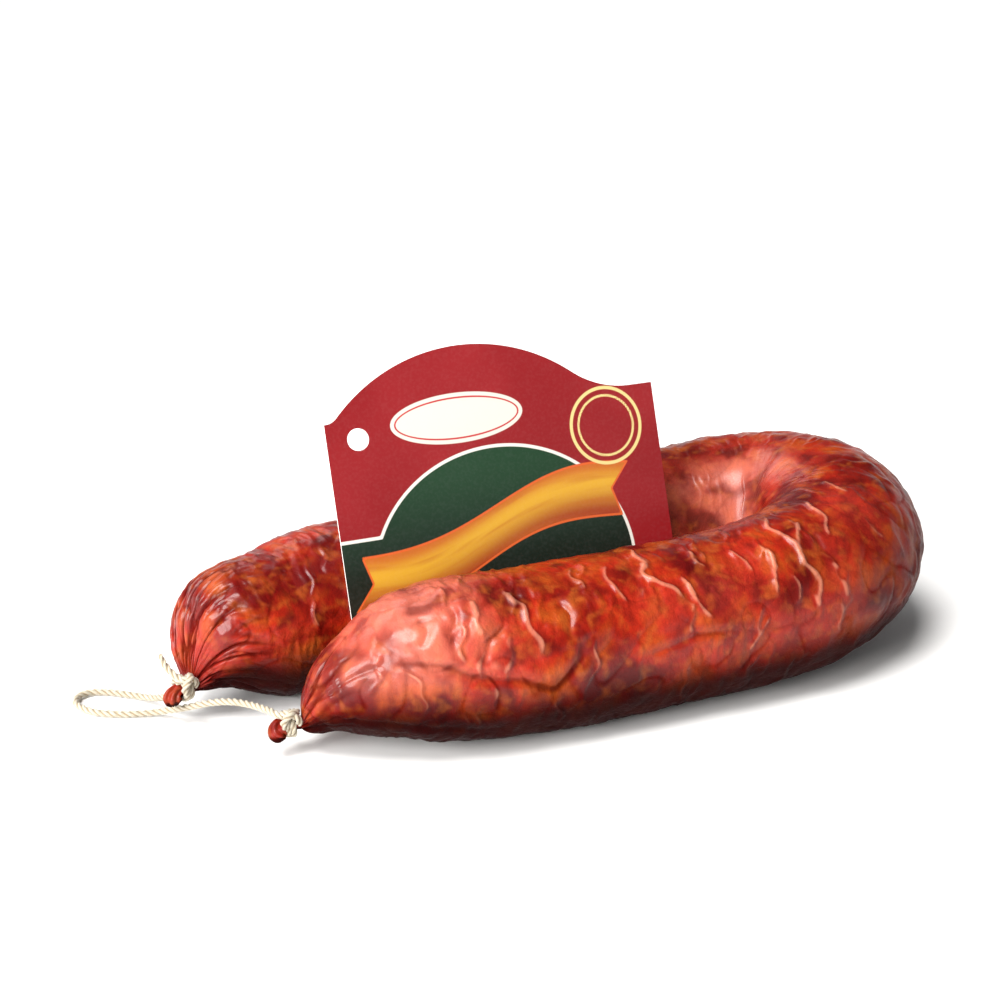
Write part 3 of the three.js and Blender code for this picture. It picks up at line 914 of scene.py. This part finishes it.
class Nodes:
    """Short calls for building one material's nodes."""

    def __init__(self, name):
        self.material = bpy.data.materials.new(name)
        self.material.use_nodes = True
        self.tree = self.material.node_tree
        self.tree.nodes.clear()
        self.out = self.tree.nodes.new("ShaderNodeOutputMaterial")
        self.shader = self.tree.nodes.new("ShaderNodeBsdfPrincipled")
        self.tree.links.new(self.shader.outputs[0], self.out.inputs[0])

    def set(self, socket, value):
        if isinstance(value, bpy.types.NodeSocket):
            self.tree.links.new(value, socket)
        else:
            socket.default_value = value

    def shader_input(self, name, value):
        self.set(self.shader.inputs[name], value)

    def attribute(self, name):
        node = self.tree.nodes.new("ShaderNodeAttribute")
        node.attribute_name = name
        return node.outputs["Fac"]

    def position(self):
        return self.tree.nodes.new("ShaderNodeTexCoord").outputs["Object"]

    def combine(self, x, y, z):
        node = self.tree.nodes.new("ShaderNodeCombineXYZ")
        for socket, value in zip(node.inputs, (x, y, z)):
            self.set(socket, value)
        return node.outputs[0]

    def noise(self, vector, scale, detail=2.0, roughness=0.5, distortion=0.0):
        node = self.tree.nodes.new("ShaderNodeTexNoise")
        self.set(node.inputs["Vector"], vector)
        self.set(node.inputs["Scale"], scale)
        self.set(node.inputs["Detail"], detail)
        self.set(node.inputs["Roughness"], roughness)
        self.set(node.inputs["Distortion"], distortion)
        return node.outputs[0]

    def math(self, operation, a, b=0.0, c=0.0):
        node = self.tree.nodes.new("ShaderNodeMath")
        node.operation = operation
        for socket, value in zip(node.inputs, (a, b, c)):
            self.set(socket, value)
        return node.outputs[0]

    def span(self, value, low, high, to_low=0.0, to_high=1.0):
        node = self.tree.nodes.new("ShaderNodeMapRange")
        node.interpolation_type = "SMOOTHSTEP"
        for name, number in zip(
            ("Value", "From Min", "From Max", "To Min", "To Max"), (value, low, high, to_low, to_high)
        ):
            self.set(node.inputs[name], number)
        return node.outputs[0]

    def mix(self, factor, a, b):
        node = self.tree.nodes.new("ShaderNodeMix")
        node.data_type = "RGBA"
        self.set(node.inputs["Factor"], factor)
        for name, value in (("A", a), ("B", b)):
            socket = [s for s in node.inputs if s.name == name and s.type == "RGBA"][0]
            self.set(socket, (*value, 1) if isinstance(value, tuple) else value)
        return [s for s in node.outputs if s.type == "RGBA"][0]

    def bump(self, height, distance, strength, normal=None):
        node = self.tree.nodes.new("ShaderNodeBump")
        self.set(node.inputs["Height"], height)
        self.set(node.inputs["Distance"], distance)
        self.set(node.inputs["Strength"], strength)
        if normal is not None:
            self.set(node.inputs["Normal"], normal)
        return node.outputs[0]


DEEP_RED = (0.12, 0.002, 0.0015)
RED = (0.33, 0.014, 0.0035)
AMBER = (0.34, 0.05, 0.005)
DARK_BLOTCH = (0.06, 0.001, 0.001)
FAT_FLECK = (0.37, 0.08, 0.012)
BLUSH = (0.38, 0.035, 0.024)
PORE = (0.07, 0.002, 0.001)
PAINTED_SHEEN_PINK = (0.58, 0.15, 0.1)
STRETCHED_RIDGE_AND_GLINT = (0.66, 0.27, 0.17)
PAINTED_CREASE_SHADE = (0.05, 0.001, 0.001)
PAINTED_SHADE_DARK = (0.012, 0.0005, 0.0004)


# The base reflects little and the coat carries the gloss, so that the pale floor doesn't wash out the
# lower side.
def casing_material():
    n = Nodes("smoked_casing")
    place = n.position()
    broad = n.noise(place, 48, 2, 0.45, 0.3)
    patch = n.noise(place, 125, 2, 0.45, 0.3)
    fleck = n.noise(place, 290, 1, 0.5, 0.2)
    fine = n.noise(place, 800, 2, 0.6)
    blush = n.noise(place, 26, 2, 0.5)
    hollow_shade, painted_shade = n.attribute("hollow_shade"), n.attribute("painted_shade")
    colour = n.mix(n.span(broad, 0.34, 0.66), DEEP_RED, RED)
    colour = n.mix(n.span(patch, 0.46, 0.74, 0, 0.9), colour, AMBER)
    colour = n.mix(n.span(patch, 0.52, 0.28, 0, 0.85), colour, DARK_BLOTCH)
    colour = n.mix(n.span(fleck, 0.48, 0.78, 0, 0.55), colour, FAT_FLECK)
    colour = n.mix(n.span(blush, 0.48, 0.72, 0, 0.4), colour, BLUSH)
    colour = n.mix(n.span(fine, 0.35, 0.7, 0, 0.2), colour, PORE)
    # Painted highlight: a pale pink sheen on the front dome's top and on the bend's inner side.
    painted_sheen = n.math("MULTIPLY", n.attribute("painted_sheen"), n.span(patch, 0.34, 0.6, 0.5, 1.0))
    colour = n.mix(n.span(painted_sheen, 0.1, 1.0, 0, 0.6), colour, PAINTED_SHEEN_PINK)
    # Paler ridges: partly the casing stretched thin, partly a painted highlight where they catch the light.
    colour = n.mix(n.span(n.attribute("raised"), 0.2, 0.5, 0, 0.42), colour, STRETCHED_RIDGE_AND_GLINT)
    # Painted shade in hollows and creases.
    colour = n.mix(n.span(hollow_shade, 0.05, 0.6, 0, 0.75), colour, PAINTED_CREASE_SHADE)
    # Painted shade: near black underneath and low on the outer side of the bend, and darker on the tails.
    colour = n.mix(n.span(painted_shade, 0.0, 0.9, 0, 0.97), colour, PAINTED_SHADE_DARK)
    n.shader_input("Base Color", colour)
    n.shader_input("Roughness", n.span(n.math("ADD", patch, fine), 0.75, 1.25, 0.3, 0.46))
    n.shader_input("IOR", 1.15)
    n.shader_input("Specular IOR Level", 0.1)
    n.shader_input("Subsurface Weight", 0.06)
    n.shader_input("Subsurface Radius", (1.0, 0.28, 0.12))
    n.shader_input("Subsurface Scale", 0.002)
    n.shader_input("Coat Weight", n.span(n.math("ADD", painted_shade, hollow_shade), 0.1, 0.7, 0.55, 0.02))
    n.shader_input("Coat Roughness", 0.28)
    wrinkle = n.noise(place, 620, 4, 0.62, 0.5)
    grain = n.noise(place, 2600, 2, 0.5)
    bumped = n.bump(wrinkle, 0.0005, 0.65)
    n.shader_input("Normal", n.bump(grain, 0.00008, 0.4, bumped))
    return n.material


COTTON_SHADE = (0.33, 0.28, 0.19)
COTTON = (0.58, 0.54, 0.44)
COTTON_WORN = (0.34, 0.32, 0.24)
COTTON_GROOVE_SHADE = (0.2, 0.13, 0.06)


def twine_material():
    n = Nodes("cotton_twine")
    lay, along = n.attribute("lay"), n.attribute("along")
    fibre_place = n.combine(n.math("MULTIPLY", lay, 5.0), n.math("MULTIPLY", along, 0.9), 0.0)
    fibres = n.noise(fibre_place, 1.0, 3, 0.65)
    worn = n.noise(n.position(), 190, 2, 0.5)
    colour = n.mix(n.span(fibres, 0.3, 0.7), COTTON_SHADE, COTTON)
    colour = n.mix(n.span(worn, 0.5, 0.7, 0, 0.5), colour, COTTON_WORN)
    # Painted shade in the grooves between the plies.
    colour = n.mix(n.span(n.attribute("groove"), 0.5, 1.0, 0, 0.75), colour, COTTON_GROOVE_SHADE)
    n.shader_input("Base Color", colour)
    n.shader_input("Roughness", 0.85)
    n.shader_input("Sheen Weight", 0.25)
    n.shader_input("Normal", n.bump(fibres, 0.00015, 0.7))
    return n.material


PRINT_EDGE = 0.12
OUTLINE = 0.8
BAND_EDGE = 0.55
LABEL_LINE = {"place": 1.2, "half": 0.22}
CARD_RED = (0.2, 0.0035, 0.006)
CARD_RED_LIGHT = (0.235, 0.006, 0.009)
CARD_GREEN = (0.002, 0.008, 0.004)
CARD_GREEN_LIGHT = (0.006, 0.035, 0.012)
CARD_OUTLINE = (0.66, 0.64, 0.58)
GOLD_LOW = (0.27, 0.03, 0.006)
GOLD = (0.56, 0.3, 0.022)
GOLD_HIGH = (0.4, 0.07, 0.009)
GOLD_STREAK = (0.38, 0.09, 0.009)
GOLD_EDGE = (0.55, 0.09, 0.015)
RING_GOLD = (0.62, 0.5, 0.2)
LABEL_WHITE = (0.6, 0.57, 0.5)
LABEL_RED = (0.4, 0.02, 0.025)
INK_SPECK = (0.9, 0.9, 0.9)


def card_material():
    n = Nodes("printed_card")
    place = n.position()
    ground, band, ring, label = (n.attribute(key) for key in ("ground", "band", "ring", "label"))
    across, tag_x, tag_y = (n.attribute(key) for key in ("band_across", "tag_x", "tag_y"))

    # How far a point is in over a printed edge, from 0 to 1.
    def past(distance, edge=0.0):
        return n.span(distance, edge - PRINT_EDGE, edge + PRINT_EDGE)

    ink = n.noise(place, 1400, 2, 0.5)
    tone = n.noise(place, 30, 2, 0.5)
    red = n.mix(n.span(tone, 0.35, 0.65), CARD_RED, CARD_RED_LIGHT)
    green = n.mix(n.span(tag_y, 30, 60), CARD_GREEN, CARD_GREEN_LIGHT)
    colour = n.mix(past(ground), red, CARD_OUTLINE)
    colour = n.mix(past(ground, OUTLINE), colour, green)
    streak_place = n.combine(n.math("MULTIPLY", across, 2.6), n.math("MULTIPLY", tag_x, 0.035), 0.0)
    streaks = n.noise(streak_place, 1.0)
    gold = n.mix(n.span(across, -1.0, 0.3), GOLD_LOW, GOLD)
    gold = n.mix(n.span(across, 0.3, 1.0, 0, 0.85), gold, GOLD_HIGH)
    gold = n.mix(n.span(streaks, 0.45, 0.7, 0, 0.55), gold, GOLD_STREAK)
    colour = n.mix(past(band), colour, n.mix(past(band, BAND_EDGE), GOLD_EDGE, gold))
    colour = n.mix(past(ring), colour, RING_GOLD)
    colour = n.mix(past(label), colour, LABEL_WHITE)
    off_line = n.math("ABSOLUTE", n.math("SUBTRACT", label, LABEL_LINE["place"]))
    colour = n.mix(past(n.math("SUBTRACT", LABEL_LINE["half"], off_line)), colour, LABEL_RED)
    colour = n.mix(n.span(ink, 0.4, 0.7, 0, 0.008), colour, INK_SPECK)
    n.shader_input("Base Color", colour)
    n.shader_input("Roughness", n.span(tone, 0.3, 0.7, 0.36, 0.46))
    n.shader_input("Coat Weight", 0.12)
    n.shader_input("Coat Roughness", 0.25)
    n.shader_input("Normal", n.bump(ink, 0.00002, 0.15))
    return n.material


CORE_SHADE = (0.72, 0.7, 0.66)
CORE_WHITE = (0.86, 0.85, 0.82)


def card_core_material():
    n = Nodes("card_core")
    fibre = n.noise(n.position(), 2200, 2, 0.6)
    n.shader_input("Base Color", n.mix(n.span(fibre, 0.3, 0.7), CORE_SHADE, CORE_WHITE))
    n.shader_input("Roughness", 0.9)
    return n.material


twine = twine_material()
for piece in (twine_loop, front_tie, back_tie, cut_tail):
    piece.data.materials.append(twine)
casing.data.materials.append(casing_material())
tag.data.materials.append(card_material())
tag.data.materials.append(card_core_material())

# ---- floor and light ----

FLOOR_HALF = 3000
FLOOR_HEIGHT = -0.15
FLOOR_COLOUR = (0.9, 0.895, 0.89, 1)
WARM_WHITE = (1.0, 0.985, 0.965)


def make_floor():
    corners = [(x * FLOOR_HALF, y * FLOOR_HALF, FLOOR_HEIGHT) for x, y in ((-1, -1), (1, -1), (1, 1), (-1, 1))]
    floor = mesh_object("floor", corners, [(0, 1, 2, 3)], shade_smooth=False, shift=False)
    n = Nodes("pale_floor")
    n.shader_input("Base Color", FLOOR_COLOUR)
    n.shader_input("Roughness", 0.7)
    n.shader_input("Specular IOR Level", 0.2)
    floor.data.materials.append(n.material)


# A lamp of a kind and energy, shining along a direction.
def make_lamp(name, kind, energy, direction, colour=(1, 1, 1)):
    data = bpy.data.lights.new(name, kind)
    data.energy = energy
    data.color = colour
    lamp = bpy.data.objects.new(name, data)
    bpy.context.scene.collection.objects.link(lamp)
    lamp.rotation_mode = "QUATERNION"
    lamp.rotation_quaternion = Vector(direction).to_track_quat("-Z", "Y")
    return lamp


def area_light(name, place, aim, size, power, colour=(1, 1, 1)):
    lamp = make_lamp(name, "AREA", power, Vector(aim) - Vector(place), colour)
    lamp.data.shape = "ELLIPSE"
    lamp.data.size, lamp.data.size_y = size
    lamp.location = place


HORIZON_LIGHT = 0.95
SKY_LIGHT = 0.12
BACKDROP_FROM = 0.12
BACKDROP_TO = 0.34


# A white backdrop round the horizon under a dim sky.
def make_world():
    world = bpy.data.worlds.new("studio")
    world.use_nodes = True
    tree = world.node_tree
    direction = tree.nodes.new("ShaderNodeTexCoord").outputs["Generated"]
    parts = tree.nodes.new("ShaderNodeSeparateXYZ")
    backdrop = tree.nodes.new("ShaderNodeMapRange")
    backdrop.interpolation_type = "SMOOTHSTEP"
    for name, value in (
        ("From Min", BACKDROP_FROM),
        ("From Max", BACKDROP_TO),
        ("To Min", HORIZON_LIGHT),
        ("To Max", SKY_LIGHT),
    ):
        backdrop.inputs[name].default_value = value
    tree.links.new(direction, parts.inputs[0])
    tree.links.new(parts.outputs["Z"], backdrop.inputs["Value"])
    tree.links.new(backdrop.outputs[0], tree.nodes["Background"].inputs["Strength"])
    tree.nodes["Background"].inputs["Color"].default_value = (1, 1, 1, 1)
    bpy.context.scene.world = world


make_floor()
key = make_lamp("key", "SUN", 3.6, (0.42, 0.2, -0.9), WARM_WHITE)
key.data.angle = math.radians(26)
area_light("rim", (-0.2, 0.6, 0.6), (0, 0, 0.02), (0.9, 0.3), 2.5)
area_light("left_box", (-0.8, -0.3, 0.38), (0, 0, 0.03), (0.6, 0.5), 13.0, WARM_WHITE)
make_world()
bpy.context.scene.view_settings.view_transform = "Standard"
